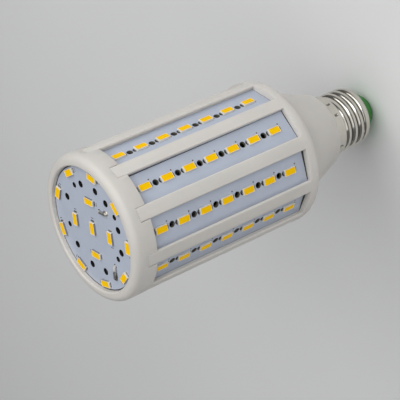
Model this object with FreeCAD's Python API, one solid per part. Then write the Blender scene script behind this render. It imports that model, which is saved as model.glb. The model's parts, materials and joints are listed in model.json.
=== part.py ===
import FreeCAD, Part
import math
import os

# A corn LED bulb on an E27 screw cap, in millimetres.
# Z is the axis of the bulb. The origin is the tip of the cap's contact, and the LED end is up.
# The middle of the first strip faces -Y, and the strips are numbered anticlockwise from above.

V = FreeCAD.Vector
UP = V(0, 0, 1)

# Screw cap, E27
thread_crest_radius = 13.1
thread_root_radius = 12.15
thread_pitch = 3.629
thread_turns = 3
thread_crest_width = 0.9
thread_foot_width = 2.9
thread_start_angle = 90.0
shell_wall = 0.35
skirt_radius = 13.45
skirt_length = 5.8
skirt_step_height = 0.7
rim_radius = 12.35
rim_band = 3.4
rim_rounding = 0.6
rim_lip = 0.8

# Insulator and centre contact
contact_rise = 0.7
contact_radius = 4.4
contact_edge_rounding = 0.5
contact_stem_radius = 1.6
contact_bore_radius = 1.1
insulator_rise = 7.0
insulator_face_radius = 6.3
insulator_rounding = 1.0
insulator_depth = 3.4
insulator_rim_gap = 0.1
contact_stem_gap = 0.05

# Housing: neck, shoulder and the ribs of the cage
body_radius = 31.5
housing_wall = 2.0
neck_end_radius = 16.05
shoulder_slope_width = 6.9
neck_length = 23.7
neck_end_rounding = 3.0
neck_root_rounding = 6.0
shoulder_slope_rise = 1.85
shoulder_rounding = 4.5
shoulder_band = 5.6
spigot_length = 4.6
spigot_gap = 0.15
spigot_wall = 1.9
rib_count = 10
rib_width = 5.8
rib_edge_rounding = 0.5
rib_lip_thickness = 1.0
rib_stem_width = 3.8
rib_web_width = 1.2
rib_flange_width = 5.2
rib_flange_setback = 5.5
seat_depth = 1.75
seat_ledge = 2.0

# Strip boards and their LEDs
strip_setback = 3.1
strip_thickness = 1.0
strip_edge_gap = 0.8
slot_gap = 0.1
led_pitch = 11.0
leds_per_strip = 7
first_led_margin = 8.65
last_led_margin = 5.05
vent_radius = 1.3

# LED package
led_length = 5.7
led_width = 3.0
led_height = 0.9
led_window_length = 5.1
led_window_width = 2.6
led_window_depth = 0.35

# Front ring
tongue_length = 4.4
tongue_gap = 0.1
ring_height = 10.1
ring_wall = 1.7
ring_edge_rounding = 3.0
ring_inner_chamfer = 0.5
lip_width = 4.6
lip_height = 2.05
ledge_width = 1.6
ledge_thickness = 1.4
strip_end_gap = 0.3

# End board: LEDs in rings of nine, four and one, and drilled holes by angle in degrees.
# Each radius of the layout is a share of the lip's radius.
end_board_thickness = 1.0
end_board_gap = 0.15
outer_led_count = 9
outer_led_share = 0.898
outer_led_start = 21.0
inner_led_count = 4
inner_led_share = 0.446
inner_led_start = -8.7
vent_circle_share = 0.695
large_vent_radius = 1.45
large_vent_angles = [7, -24, -46, -82, -113, -174, 157, 123, 54]
small_vent_radius = 1.15
small_vents_at = [(0.699, 23), (0.677, 95), (0.647, -128), (0.725, -66)]

# Leads: the two soldered to the front of the end board, the two of the cap, and the feeds of the strips
lead_radius = 0.6
lead_bend = 1.0
wire_hole_radius = 0.85
positive_hole_at = (0.431, -41.0)
positive_pad_at = (0.554, -56.0)
negative_hole_at = (0.658, -144.0)
negative_pad_at = (0.803, -155.0)
lead_seat_gap = 0.05
lead_joint_length = 4.0
lead_straight = 6.0
live_lead_straight = 3.0
lead_spread = 6.0
neutral_drop = 6.0
neutral_side_room = 3.1
lead_hole_straight = 5.0
feed_lead_radius = 0.5
feed_offset = 2.0
feed_joint_length = 2.0
feed_ring_room = 1.5
feed_straight = 2.0

# Driver board and the parts on it
driver_edge_room = 3.45
driver_thickness = 1.2
driver_foot_room = 7.5
driver_part_gap = 2.5
driver_top_room = 7.5
driver_slot_gap = 0.1
rail_length = 16.8
rail_side = 1.2
rail_grip = 1.6
rail_floor = 0.8
pin_width = 0.6
pin_gap = 0.1
pin_end = 1.0
film_size = (13.0, 7.5, 17.0)
film_offset = 3.5
film_pin_pitch = 10.0
smoothing_radius = 5.0
smoothing_length = 16.0
smoothing_pin_pitch = 5.0
bridge_size = (6.4, 3.2, 8.4)
row_room_shares = (15, 17, 12)
bridge_pin_pitch = (4.8, 5.0)
resistor_radius = 1.7
resistor_length = 8.0
resistor_leg = 1.5
resistor_stand_off = 1.0
fuse_edge_room = 5.0
bleed_edge_room = 5.4

# Links between the strip boards
link_thickness = 0.3
link_height = 2.0
link_foot = 2.2
link_drop = 3.6

# Angles round the axis
step = 360.0 / rib_count
half_step = math.radians(step / 2)
strip_angles = [-90 + step * i for i in range(rib_count)]
rib_angles = [angle + step / 2 for angle in strip_angles]

# Radii and widths worked out from the body's radius
neck_root_radius = body_radius - shoulder_slope_width
rib_flange_radius = body_radius - rib_flange_setback
strip_apothem = body_radius - strip_setback
seat_inner_radius = strip_apothem - seat_ledge
strip_width = 2 * ((strip_apothem - strip_thickness) * math.tan(half_step) - strip_edge_gap)
lip_radius = body_radius - lip_width
driver_width = 2 * (neck_end_radius - driver_edge_room)
spigot_radius = skirt_radius - shell_wall - spigot_gap
spigot_bore = spigot_radius - spigot_wall

# Heights up the axis, worked out from the sizes above
rim_z = contact_rise + insulator_rise
thread_z = rim_z + rim_band
skirt_z = thread_z + thread_turns * thread_pitch
neck_z = skirt_z + skirt_length
neck_root_z = neck_z + neck_length
shoulder_z = neck_root_z + shoulder_slope_rise
window_z = shoulder_z + shoulder_band
seat_z = window_z - seat_depth
first_led_z = window_z + first_led_margin
last_led_z = first_led_z + (leds_per_strip - 1) * led_pitch
ring_z = last_led_z + last_led_margin
front_z = ring_z + ring_height
board_z = front_z - lip_height
ledge_z = board_z - end_board_thickness
strip_end_z = ledge_z - ledge_thickness - strip_end_gap
driver_z = neck_z + housing_wall + rail_floor

# Places on the driver board: the resistors at the foot, then the smoothing capacitor, then the film one
driver_half = driver_width / 2
resistor_span = resistor_length + 2 * resistor_leg
resistor_z = driver_z + driver_foot_room + resistor_span / 2
smoothing_z = resistor_z + resistor_span / 2 + driver_part_gap + smoothing_radius
film_z = smoothing_z + smoothing_radius + driver_part_gap + film_size[2] / 2
driver_end = film_z + film_size[2] / 2 + driver_top_room
film_at = (-film_offset, film_z)
# Room in the row of rectifier and capacitor, shared out: left of them, between them and right of them
row_room = (driver_width - bridge_size[0] - 2 * smoothing_radius) / sum(row_room_shares)
bridge_at = (row_room_shares[0] * row_room + bridge_size[0] / 2 - driver_half, smoothing_z)
smoothing_at = (driver_half - row_room_shares[2] * row_room - smoothing_radius, smoothing_z)
fuse_at = (driver_half - fuse_edge_room, resistor_z)
bleed_at = (bleed_edge_room - driver_half, resistor_z)

parts = {}


def turn(shape, degrees):
    """A copy of a shape turned about the axis of the bulb."""
    copy = shape.copy()
    copy.rotate(V(0, 0, 0), UP, degrees)
    return copy


def polar(radius, degrees, z=0.0):
    """A point given by its radius and angle round the axis."""
    a = math.radians(degrees)
    return V(radius * math.cos(a), radius * math.sin(a), z)


def box(x, y, z):
    """A block between two limits on each axis."""
    block = Part.makeBox(x[1] - x[0], y[1] - y[0], z[1] - z[0])
    block.translate(V(x[0], y[0], z[0]))
    return block


def rounded_outline(corners):
    """A closed wire through corners (point, rounding), with each rounding as a tangent arc."""
    count = len(corners)
    starts = []
    ends = []
    arcs = []
    for i in range(count):
        point, radius = corners[i]
        before = (corners[i - 1][0] - point).normalize()
        after = (corners[(i + 1) % count][0] - point).normalize()
        if radius <= 0:
            starts.append(point)
            ends.append(point)
            arcs.append(None)
            continue
        half = before.getAngle(after) / 2
        back = radius / math.tan(half)
        bisector = (before + after).normalize()
        middle = point + bisector * (radius / math.sin(half) - radius)
        starts.append(point + before * back)
        ends.append(point + after * back)
        arcs.append(Part.Arc(starts[i], middle, ends[i]))
    edges = []
    for i in range(count):
        if arcs[i]:
            edges.append(arcs[i].toShape())
        following = starts[(i + 1) % count]
        if ends[i].distanceToPoint(following) > 1e-6:
            edges.append(Part.makeLine(ends[i], following))
    return Part.Wire(edges)


def revolve(corners):
    """A solid of revolution from corners (radius, height) or (radius, height, rounding)."""
    flat = []
    for corner in corners:
        rounding = corner[2] if len(corner) > 2 else 0
        flat.append((V(corner[0], 0, corner[1]), rounding))
    return Part.Face(rounded_outline(flat)).revolve(V(0, 0, 0), UP, 360)


def prism(points, z0, z1):
    """An upright solid on a polygon of (x, y) points."""
    corners = [V(x, y, z0) for x, y in points]
    return Part.Face(Part.makePolygon(corners + corners[:1])).extrude(V(0, 0, z1 - z0))


def tube(points, radius, bend):
    """A round lead along a route of straight runs joined by tangent arcs."""
    edges = []
    start = points[0]
    for i in range(1, len(points) - 1):
        before = (points[i - 1] - points[i]).normalize()
        after = (points[i + 1] - points[i]).normalize()
        half = before.getAngle(after) / 2
        back = bend / math.tan(half)
        middle = points[i] + (before + after).normalize() * (bend / math.sin(half) - bend)
        edges.append(Part.makeLine(start, points[i] + before * back))
        start = points[i] + after * back
        edges.append(Part.Arc(points[i] + before * back, middle, start).toShape())
    edges.append(Part.makeLine(start, points[-1]))
    section = Part.Wire(Part.makeCircle(radius, points[0], points[1] - points[0]))
    return Part.Wire(edges).makePipeShell([section], True, False)


def keep(name, *solids):
    """Collect the solids of one named piece."""
    parts[name] = solids[0] if len(solids) == 1 else Part.makeCompound(list(solids))


# Screw cap

def thread_ridge():
    """The helical ridge of the thread, right-handed, with its ends run out into the core."""
    sink = 0.12
    inner = thread_root_radius - sink
    helix = Part.makeHelix(thread_pitch, (thread_turns - 0.8) * thread_pitch, inner)
    half_foot = thread_foot_width / 2
    half_crest = thread_crest_width / 2
    corners = [
        V(inner, 0, -half_foot),
        V(thread_crest_radius, 0, -half_crest),
        V(thread_crest_radius, 0, half_crest),
        V(inner, 0, half_foot),
    ]
    outline = Part.makePolygon(corners + corners[:1])
    ridge = Part.Wire(helix.Edges).makePipeShell([outline], True, True)
    ridge.translate(V(0, 0, thread_z + 0.4 * thread_pitch))
    return turn(ridge, thread_start_angle)


def screw_shell():
    """The rolled shell: rounded rim, thread and plain skirt, open at both ends."""
    bore = thread_root_radius - shell_wall
    skirt_bore = skirt_radius - shell_wall
    lip_bore = rim_radius - rim_lip
    step_z = skirt_z + skirt_step_height
    body = revolve([
        (lip_bore, rim_z),
        (rim_radius, rim_z, rim_rounding),
        (rim_radius, thread_z - 0.25),
        (thread_root_radius, thread_z),
        (thread_root_radius, skirt_z),
        (skirt_radius, step_z),
        (skirt_radius, neck_z),
        (skirt_bore, neck_z),
        (skirt_bore, step_z + shell_wall),
        (bore, skirt_z + shell_wall),
        (bore, rim_z + shell_wall),
        (lip_bore, rim_z + shell_wall),
    ])
    keep("screw_shell", body.fuse(thread_ridge()).removeSplitter())


def cap_insulator():
    """The insulator: a plug inside the shell and a rounded cone that shows beyond it."""
    plug = thread_root_radius - shell_wall - insulator_rim_gap
    neck = rim_radius - rim_lip - insulator_rim_gap
    top = rim_z + shell_wall
    keep("cap_insulator", revolve([
        (contact_stem_radius + contact_stem_gap, contact_rise),
        (insulator_face_radius, contact_rise, insulator_rounding),
        (neck, rim_z),
        (neck, top),
        (plug, top),
        (plug, top + insulator_depth),
        (contact_stem_radius + contact_stem_gap, top + insulator_depth),
    ]))


def centre_contact():
    """The contact: a shallow domed head on a hollow stem that is spread over the insulator."""
    stem_end = rim_z + shell_wall + insulator_depth
    keep("centre_contact", revolve([
        (0, 0),
        (contact_radius, 0, contact_edge_rounding),
        (contact_radius, contact_rise),
        (contact_stem_radius, contact_rise),
        (contact_stem_radius, stem_end),
        (contact_bore_radius, stem_end),
        (contact_bore_radius, contact_rise),
        (0, contact_rise),
    ]))


# Housing

def neck_radius(z):
    """Outer radius of the neck's cone at a height."""
    return neck_end_radius + (neck_root_radius - neck_end_radius) * (z - neck_z) / neck_length


def shoulder_shell():
    """Neck and shoulder, with the spigot for the cap and the ledge for the strip boards."""
    inward = housing_wall * math.hypot(1, (neck_root_radius - neck_end_radius) / neck_length)
    slope = shoulder_slope_rise / (body_radius - neck_root_radius)
    upward = housing_wall * math.hypot(1, slope)
    floor_z = neck_z + housing_wall
    inner_root = neck_root_radius - inward + 0.5
    inner_root_z = neck_root_z + upward
    return revolve([
        (spigot_bore, neck_z - spigot_length),
        (spigot_radius, neck_z - spigot_length),
        (spigot_radius, neck_z),
        (neck_end_radius, neck_z, neck_end_rounding),
        (neck_root_radius, neck_root_z, neck_root_rounding),
        (body_radius, shoulder_z, shoulder_rounding),
        (body_radius, window_z),
        (seat_inner_radius, window_z),
        (seat_inner_radius, inner_root_z + slope * (seat_inner_radius - inner_root)),
        (inner_root, inner_root_z),
        (neck_radius(floor_z) - inward, floor_z),
        (spigot_bore, floor_z),
    ])


def decagon(apothem, z0, z1):
    """A prism with one flat facing each strip."""
    corner = apothem / math.cos(half_step)
    points = []
    for angle in rib_angles:
        point = polar(corner, angle)
        points.append((point.x, point.y))
    return prism(points, z0, z1)


def seat_plane(apothem, x):
    """Radial place, at a distance x from a rib's middle, of the plane of a strip beside it."""
    return (apothem - abs(x) * math.sin(half_step)) / math.cos(half_step)


def rib():
    """One rib, its middle at angle 0: a lipped face over two strips, a web and a flange behind them."""
    half = rib_width / 2
    rounding = rib_edge_rounding
    rim = math.sqrt((body_radius - rounding) ** 2 - (half - rounding) ** 2)
    crown_end = V(rim, half - rounding, 0) * (body_radius / (body_radius - rounding))
    between = math.radians(90) / 2 + math.atan2(half - rounding, rim) / 2
    corner = V(rim + rounding * math.cos(between), half - rounding + rounding * math.sin(between), 0)
    outer = strip_apothem + slot_gap
    inner = strip_apothem - strip_thickness - slot_gap
    web = rib_web_width / 2
    flange = rib_flange_width / 2
    crown_start = V(crown_end.x, -crown_end.y, 0)
    arcs = [
        Part.Arc(V(rim, -half, 0), V(corner.x, -corner.y, 0), crown_start),
        Part.Arc(crown_start, V(body_radius, 0, 0), crown_end),
        Part.Arc(crown_end, corner, V(rim, half, 0)),
    ]
    side = [
        V(rim, half, 0),
        V(seat_plane(outer, half), half, 0),
        V(seat_plane(outer, 0), 0, 0),
        V(seat_plane(outer, half), -half, 0),
        V(rim, -half, 0),
    ]
    edges = [arc.toShape() for arc in arcs] + Part.makePolygon(side).Edges
    face = Part.Face(Part.Wire(edges))
    bar = face.extrude(V(0, 0, ring_z + tongue_length - seat_z))
    under = rim + rounding - rib_lip_thickness
    for side_x in (rib_stem_width / 2, -rib_stem_width / 2):
        beyond = math.copysign(half + 1, side_x)
        hollow = prism([(under, side_x), (under, beyond), (inner, beyond), (inner, side_x)],
                       window_z - seat_z, ring_z - seat_z)
        bar = bar.cut(hollow)
    stem = prism([
        (seat_plane(outer, 0) + 0.2, web),
        (seat_plane(inner, web), web),
        (seat_plane(inner, flange), flange),
        (rib_flange_radius, flange),
        (rib_flange_radius, -flange),
        (seat_plane(inner, flange), -flange),
        (seat_plane(inner, web), -web),
        (seat_plane(outer, 0) + 0.2, -web),
    ], 0, ring_z - link_drop + link_height - seat_z)
    whole = bar.fuse(stem).removeSplitter()
    whole.translate(V(0, 0, seat_z))
    return whole


def driver_rails():
    """Two moulded channels in the neck that hold the edges of the driver board."""
    floor_z = neck_z + housing_wall
    top_z = floor_z + rail_length
    inside = driver_width / 2 - rail_grip
    half = driver_thickness / 2 + driver_slot_gap + rail_side
    corners = [
        V(inside, -half, floor_z),
        V(neck_radius(floor_z) - housing_wall / 2, -half, floor_z),
        V(neck_radius(top_z) - housing_wall / 2, -half, top_z),
        V(inside, -half, top_z),
    ]
    block = Part.Face(Part.makePolygon(corners + corners[:1])).extrude(V(0, 2 * half, 0))
    slot = driver_thickness / 2 + driver_slot_gap
    edge = driver_width / 2 + driver_slot_gap
    block = block.cut(box((0, edge), (-slot, slot), (driver_z, top_z + 1)))
    return [block, turn(block, 180)]


def lamp_housing():
    """The white moulding that carries everything: neck, shoulder and ten ribs."""
    shell = shoulder_shell().cut(decagon(strip_apothem + slot_gap, seat_z, window_z + 1))
    ribs = [turn(rib(), angle) for angle in rib_angles]
    keep("lamp_housing", shell.fuse(ribs + driver_rails()))


# Front ring

def front_ring():
    """The ring that closes the cage: a rounded lip, a ledge for the end board, ten notches."""
    skirt_inner = body_radius - ring_wall
    ledge_inner = lip_radius - ledge_width
    body = revolve([
        (skirt_inner, ring_z),
        (body_radius, ring_z),
        (body_radius, front_z, ring_edge_rounding),
        (lip_radius + ring_inner_chamfer, front_z),
        (lip_radius, front_z - ring_inner_chamfer),
        (lip_radius, ledge_z),
        (ledge_inner, ledge_z),
        (ledge_inner, ledge_z - ledge_thickness),
        (skirt_inner, ledge_z - ledge_thickness),
    ])
    half = rib_width / 2 + tongue_gap
    notch = box((skirt_inner - 2, body_radius + 2), (-half, half),
                (ring_z - 1, ring_z + tongue_length + tongue_gap))
    keep("front_ring", body.cut([turn(notch, angle) for angle in rib_angles]))


# LED packages

def led():
    """One package lying along X on z = 0, with the pocket that holds the filling."""
    body = box((-led_length / 2, led_length / 2), (-led_width / 2, led_width / 2), (0, led_height))
    return body.cut(filling())


def filling():
    """The yellow filling of one package, level with its top."""
    return box((-led_window_length / 2, led_window_length / 2),
               (-led_window_width / 2, led_window_width / 2),
               (led_height - led_window_depth, led_height))


def on_strip(shape, z):
    """A shape that lies on z = 0, moved to the face of the strip at angle 0, along the axis."""
    copy = shape.copy()
    copy.rotate(V(0, 0, 0), V(0, 1, 0), 90)
    copy.translate(V(strip_apothem, 0, z))
    return copy


def strips():
    """The ten strip boards with their vent holes, packages and fillings."""
    board = box((strip_apothem - strip_thickness, strip_apothem),
                (-strip_width / 2, strip_width / 2), (seat_z, strip_end_z))
    led_heights = [first_led_z + led_pitch * i for i in range(leds_per_strip)]
    holes = []
    for z in led_heights[:-1]:
        hole = Part.makeCylinder(vent_radius, strip_thickness + 2)
        holes.append(on_strip(hole, z + led_pitch / 2))
        holes[-1].translate(V(-strip_thickness - 1, 0, 0))
    board = board.cut(holes)
    leds = [on_strip(led(), z) for z in led_heights]
    fillings = [on_strip(filling(), z) for z in led_heights]
    for number, angle in enumerate(strip_angles, 1):
        keep("strip_board_%02d" % number, turn(board, angle))
        keep("strip_leds_%02d" % number, *[turn(shape, angle) for shape in leds])
        keep("strip_phosphor_%02d" % number, *[turn(shape, angle) for shape in fillings])


# End board

def on_layout(share, degrees, z):
    """A point over the end board, with its radius as a share of the lip's radius."""
    return polar(share * lip_radius, degrees, z)


def on_end_board(shape, share, angle, spin):
    """A shape on z = 0, moved to the face of the end board and spun from the radial direction."""
    copy = turn(shape, angle + spin)
    copy.translate(on_layout(share, angle, board_z))
    return copy


def end_led_places():
    """Share, angle and spin of the fourteen packages; only the middle one lies along its angle."""
    places = [(0.0, inner_led_start, 0)]
    for i in range(inner_led_count):
        places.append((inner_led_share, inner_led_start + 360.0 / inner_led_count * i, 90))
    for i in range(outer_led_count):
        places.append((outer_led_share, outer_led_start + 360.0 / outer_led_count * i, 90))
    return places


def end_board():
    """The round board in the ring, with its vents, wire holes, packages and fillings."""
    board = Part.makeCylinder(lip_radius - end_board_gap, end_board_thickness, V(0, 0, ledge_z))
    drills = [(large_vent_radius, vent_circle_share, angle) for angle in large_vent_angles]
    drills += [(small_vent_radius,) + place for place in small_vents_at]
    drills += [(wire_hole_radius,) + place for place in (positive_hole_at, negative_hole_at)]
    holes = []
    for size, share, angle in drills:
        holes.append(Part.makeCylinder(size, end_board_thickness + 2, on_layout(share, angle, ledge_z - 1)))
    keep("end_board", board.cut(holes))
    keep("end_leds", *[on_end_board(led(), *place) for place in end_led_places()])
    keep("end_phosphor", *[on_end_board(filling(), *place) for place in end_led_places()])


# Driver

def on_driver(x, z):
    """A point on the front face of the driver board."""
    return V(x, driver_thickness / 2, z)


def pin(x, z, reach):
    """A square pin through the driver board, from behind it to a reach in front of it."""
    half = pin_width / 2
    return box((x - half, x + half), (-driver_thickness / 2 - pin_end, driver_thickness / 2 + reach),
               (z - half, z + half))


def block_part(size, place, pins):
    """A block on the driver board with cut corners and its pins."""
    x, z = place
    width, depth, height = size
    cut = 0.6
    half_x = width / 2
    half_z = height / 2
    corners = [
        (half_x - cut, -half_z), (half_x, -half_z + cut), (half_x, half_z - cut), (half_x - cut, half_z),
        (cut - half_x, half_z), (-half_x, half_z - cut), (-half_x, cut - half_z), (cut - half_x, -half_z),
    ]
    face = driver_thickness / 2
    outline = [V(x + a, face, z + b) for a, b in corners]
    body = Part.Face(Part.makePolygon(outline + outline[:1])).extrude(V(0, depth, 0))
    return body.fuse([pin(x + a, z + b, 0.2) for a, b in pins])


def axial_part(place):
    """A resistor along Z, clear of the board on its two bent legs."""
    x, z = place
    height = resistor_radius + resistor_stand_off
    legs = resistor_span / 2
    body = Part.makeCylinder(resistor_radius, resistor_length,
                             V(x, driver_thickness / 2 + height, z - resistor_length / 2))
    half = pin_width / 2
    middle = driver_thickness / 2 + height
    bar = box((x - half, x + half), (middle - half, middle + half), (z - legs - half, z + legs + half))
    return body.fuse([bar, pin(x, z - legs, height), pin(x, z + legs, height)]).removeSplitter()


def bridge_pins():
    """The four pins of the rectifier, from its middle."""
    wide, tall = bridge_pin_pitch
    return [(a, b) for a in (-wide / 2, wide / 2) for b in (-tall / 2, tall / 2)]


def two_pins(pitch, along_z):
    """Two pins either side of a part's middle."""
    half = pitch / 2
    return [(0, -half), (0, half)] if along_z else [(-half, 0), (half, 0)]


def driver_pins():
    """Where every pin goes through the driver board."""
    groups = [
        (film_at, two_pins(film_pin_pitch, True)),
        (smoothing_at, two_pins(smoothing_pin_pitch, False)),
        (bridge_at, bridge_pins()),
        (fuse_at, two_pins(resistor_span, True)),
        (bleed_at, two_pins(resistor_span, True)),
    ]
    return [(place[0] + a, place[1] + b) for place, offsets in groups for a, b in offsets]


def driver():
    """The driver board and its parts."""
    face = driver_thickness / 2
    board = box((-driver_half, driver_half), (-face, face), (driver_z, driver_end))
    reach = pin_width / 2 + pin_gap
    holes = [box((x - reach, x + reach), (-face - 1, face + 1), (z - reach, z + reach))
             for x, z in driver_pins()]
    keep("driver_board", board.cut(holes))
    keep("film_capacitor", block_part(film_size, film_at, two_pins(film_pin_pitch, True)))
    keep("bridge_rectifier", block_part(bridge_size, bridge_at, bridge_pins()))
    x, z = smoothing_at
    can = Part.makeCylinder(smoothing_radius, smoothing_length, on_driver(x, z), V(0, 1, 0))
    pins = [pin(x + a, z, 0.2) for a, b in two_pins(smoothing_pin_pitch, False)]
    keep("smoothing_capacitor", can.fuse(pins))
    keep("fuse_resistor", axial_part(fuse_at))
    keep("bleed_resistor", axial_part(bleed_at))


# Leads and links

def leads():
    """The leads from the cap to the driver, and from the driver to the front of the end board."""
    beside = driver_thickness / 2 + lead_radius + lead_seat_gap
    joint_z = driver_z + lead_joint_length
    cap_end = rim_z + shell_wall + insulator_depth
    keep("live_lead", tube([V(0, 0, contact_rise), V(0, 0, cap_end + 1), V(0, beside, driver_z - live_lead_straight),
                            V(0, beside, joint_z)], lead_radius, lead_bend))
    shell_bore = thread_root_radius - shell_wall
    low = math.sqrt((shell_bore - lead_radius - lead_seat_gap) ** 2 - beside ** 2)
    side = min(driver_half - rail_grip, spigot_bore)
    keep("neutral_lead", tube([V(-low, beside, skirt_z - neutral_drop),
                               V(neutral_side_room - side, beside, joint_z)], lead_radius, 0))
    over = board_z + lead_radius + lead_seat_gap
    for name, x, hole, pad in (("positive_lead", lead_spread, positive_hole_at, positive_pad_at),
                               ("negative_lead", -lead_spread, negative_hole_at, negative_pad_at)):
        route = [
            V(x, -beside, driver_end - lead_joint_length),
            V(x, -beside, driver_end + lead_straight),
            on_layout(hole[0], hole[1], ledge_z - lead_hole_straight),
            on_layout(hole[0], hole[1], over),
            on_layout(pad[0], pad[1], over),
        ]
        keep(name, tube(route, lead_radius, lead_bend))


def links():
    """Flat links across the inner faces of neighbouring strips, and the two feeds of the chain."""
    inner = strip_apothem - strip_thickness
    gap = inner * math.tan(half_step) - strip_width / 2
    reach = (gap + link_foot) * math.cos(half_step)
    low_z = ring_z - link_drop + link_height + 0.6
    section = [
        (seat_plane(inner, reach), reach),
        (seat_plane(inner, 0), 0),
        (seat_plane(inner, reach), -reach),
        (seat_plane(inner - link_thickness, reach), -reach),
        (seat_plane(inner - link_thickness, 0), 0),
        (seat_plane(inner - link_thickness, reach), reach),
    ]
    link = prism(section, low_z, low_z + link_height)
    keep("strip_links", *[turn(link, angle) for angle in rib_angles[:-1]])
    feeds = []
    for angle in (strip_angles[0], strip_angles[-1]):
        side = feed_offset if angle == strip_angles[0] else -feed_offset
        foot = inner - feed_lead_radius - lead_seat_gap
        head = lip_radius - ledge_width - feed_ring_room
        route = [
            V(foot, side, low_z + link_height - feed_joint_length),
            V(foot, side, low_z + link_height + feed_lead_radius),
            V(head, side, ledge_z - feed_straight),
            V(head, side, ledge_z - lead_seat_gap),
        ]
        feeds.append(turn(tube(route, feed_lead_radius, lead_bend), angle))
    keep("feed_leads", *feeds)


screw_shell()
cap_insulator()
centre_contact()
lamp_housing()
front_ring()
strips()
end_board()
driver()
leads()
links()

os.makedirs("parts", exist_ok=True)
for name, shape in parts.items():
    shape.exportStep("parts/" + name + ".step")
    print(name, len(shape.Solids), round(shape.Volume, 1), shape.isValid())
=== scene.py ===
import json
import math

import bmesh
import bpy
import numpy as np
from mathutils import Matrix, Quaternion, Vector

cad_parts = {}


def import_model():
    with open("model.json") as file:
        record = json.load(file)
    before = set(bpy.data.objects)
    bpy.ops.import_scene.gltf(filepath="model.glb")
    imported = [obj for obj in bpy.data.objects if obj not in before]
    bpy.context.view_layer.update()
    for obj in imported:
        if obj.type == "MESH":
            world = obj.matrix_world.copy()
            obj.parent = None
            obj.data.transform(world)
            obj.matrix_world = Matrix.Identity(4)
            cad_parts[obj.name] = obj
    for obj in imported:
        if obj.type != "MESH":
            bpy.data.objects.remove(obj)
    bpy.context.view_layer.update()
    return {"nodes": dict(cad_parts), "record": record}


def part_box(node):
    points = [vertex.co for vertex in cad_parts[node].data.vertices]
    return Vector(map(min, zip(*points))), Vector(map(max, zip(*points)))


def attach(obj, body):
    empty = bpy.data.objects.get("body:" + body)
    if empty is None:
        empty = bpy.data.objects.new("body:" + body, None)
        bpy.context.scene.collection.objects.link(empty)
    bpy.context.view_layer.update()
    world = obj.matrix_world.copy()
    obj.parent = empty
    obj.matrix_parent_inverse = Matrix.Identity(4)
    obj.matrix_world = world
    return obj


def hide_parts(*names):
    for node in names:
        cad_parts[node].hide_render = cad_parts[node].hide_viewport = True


# A corn LED bulb, dressed. Sizes are in millimetres and are turned into metres when a mesh is made.
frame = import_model()
nodes = frame["nodes"]
mm = 0.001


def extent(node):
    """Lowest and highest corner of a CAD node in millimetres."""
    low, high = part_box(node)
    return low / mm, high / mm


# Sizes read from the frame
board_low, board_high = extent("strip_board_01")
leds_low, leds_high = extent("strip_leds_01")
fill_low, fill_high = extent("strip_phosphor_01")
shell_low, shell_high = extent("screw_shell")
disc_high = extent("end_board")[1]

strip_apothem = -board_low.y
led_height = board_low.y - leds_low.y
led_width = leds_high.x - leds_low.x
window_width = fill_high.x - fill_low.x
window_margin = (leds_high.z - leds_low.z - fill_high.z + fill_low.z) / 2
disc_face = disc_high.z
disc_radius = disc_high.x

# Strips and their windows: the slots of the ribs and the seats cover the boards' edges
strip_count = 10
strip_step = 36.0
first_strip_angle = -90.0
board_thickness = 1.0
slot_cover = 1.4
ring_cover = 1.0
window_before_leds = 5.8
clear_half = (board_high.x - board_low.x) / 2 - slot_cover
window_z = leds_low.z - window_before_leds
window_top = board_high.z - ring_cover
largest_hole_radius = 2.0
lead_radius = 0.6

# Painted shadow strips at the boards' edges: how far they lie above the board, drop at their edge, reach
# out of sight below the window, and waver in width
shadow_lift = 0.012
shadow_drop = 0.02
shadow_root = 0.2
shadow_waver = 0.03

# Screw shell of the cap: the rim band and the turns of its thread are as the photograph shows them
rim_z = shell_low.z
skirt_top = shell_high.z
skirt_radius = shell_high.x
rim_band = 2.75
rim_radius = 12.35
rim_rounding = 0.6
rim_belly = 0.10
rim_groove_height = 0.35
rim_groove_depth = 0.22
lip_reach = 0.8
thread_pitch = 3.629
thread_turns = 3.15
thread_start = 179.0
run_out_start = 0.85
run_out_end = 0.48
crest_radius = 13.1
crest_narrowing = 1.05
root_radius = 12.12
shell_wall = 0.35
thread_z = rim_z + rim_band
first_crest_z = thread_z + 0.4 * thread_pitch
skirt_z = thread_z + thread_turns * thread_pitch
skirt_step = 0.75
skirt_inner_step = 1.1
skirt_edge_height = 0.25
skirt_edge_inset = 0.10
crimp_pairs = 4
crimp_start = -44.0
crimp_apart = 26.0
crimp_z = skirt_z + 2.9
crimp_half_height = 1.0
crimp_half_width = 0.9
crimp_depth = 0.50

# Rows of points on the cap: how far apart they are on the rim band, the thread and the skirt
rim_row = 0.45
thread_row = 0.145
skirt_row = 0.20
points_round_cap = 240

# Camera, fitted to the photograph: place and aim in millimetres, roll in degrees
camera_place = Vector((231.48, -555.87, 458.32))
camera_aim = Vector((-7.14, -1.30, 95.31))
camera_roll = 114.10
focal_pixels = 1702.0
picture_width = 400.0
sensor_width = 36.0

# Studio, in metres and watts: name, place, width, height and power of each light
floor_half = 2.5
light_aim = Vector((0, 0, 0.085))
softboxes = (
    ("key_softbox", (0.16, -0.74, 0.81), 1.6, 0.8, 3.1),
    ("side_softbox", (0.70, -0.25, 0.83), 1.6, 0.8, 7.8),
    ("top_softbox", (0.05, -0.06, 1.13), 1.2, 0.5, 1.6),
    ("far_softbox", (0.72, 0.52, 0.55), 1.2, 0.12, 0.6),
    ("back_softbox", (-0.85, 0.35, 0.50), 1.0, 0.6, 0.8),
)
room_colour = (0.95, 0.98, 1.0, 1)
room_strength = 0.13


# Materials

def srgb(red, green, blue):
    """A colour as it looks, 0 to 255, as linear light."""
    values = []
    for value in (red, green, blue):
        c = value / 255
        values.append(c / 12.92 if c <= 0.04045 else ((c + 0.055) / 1.055) ** 2.4)
    return tuple(values) + (1.0,)


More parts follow.
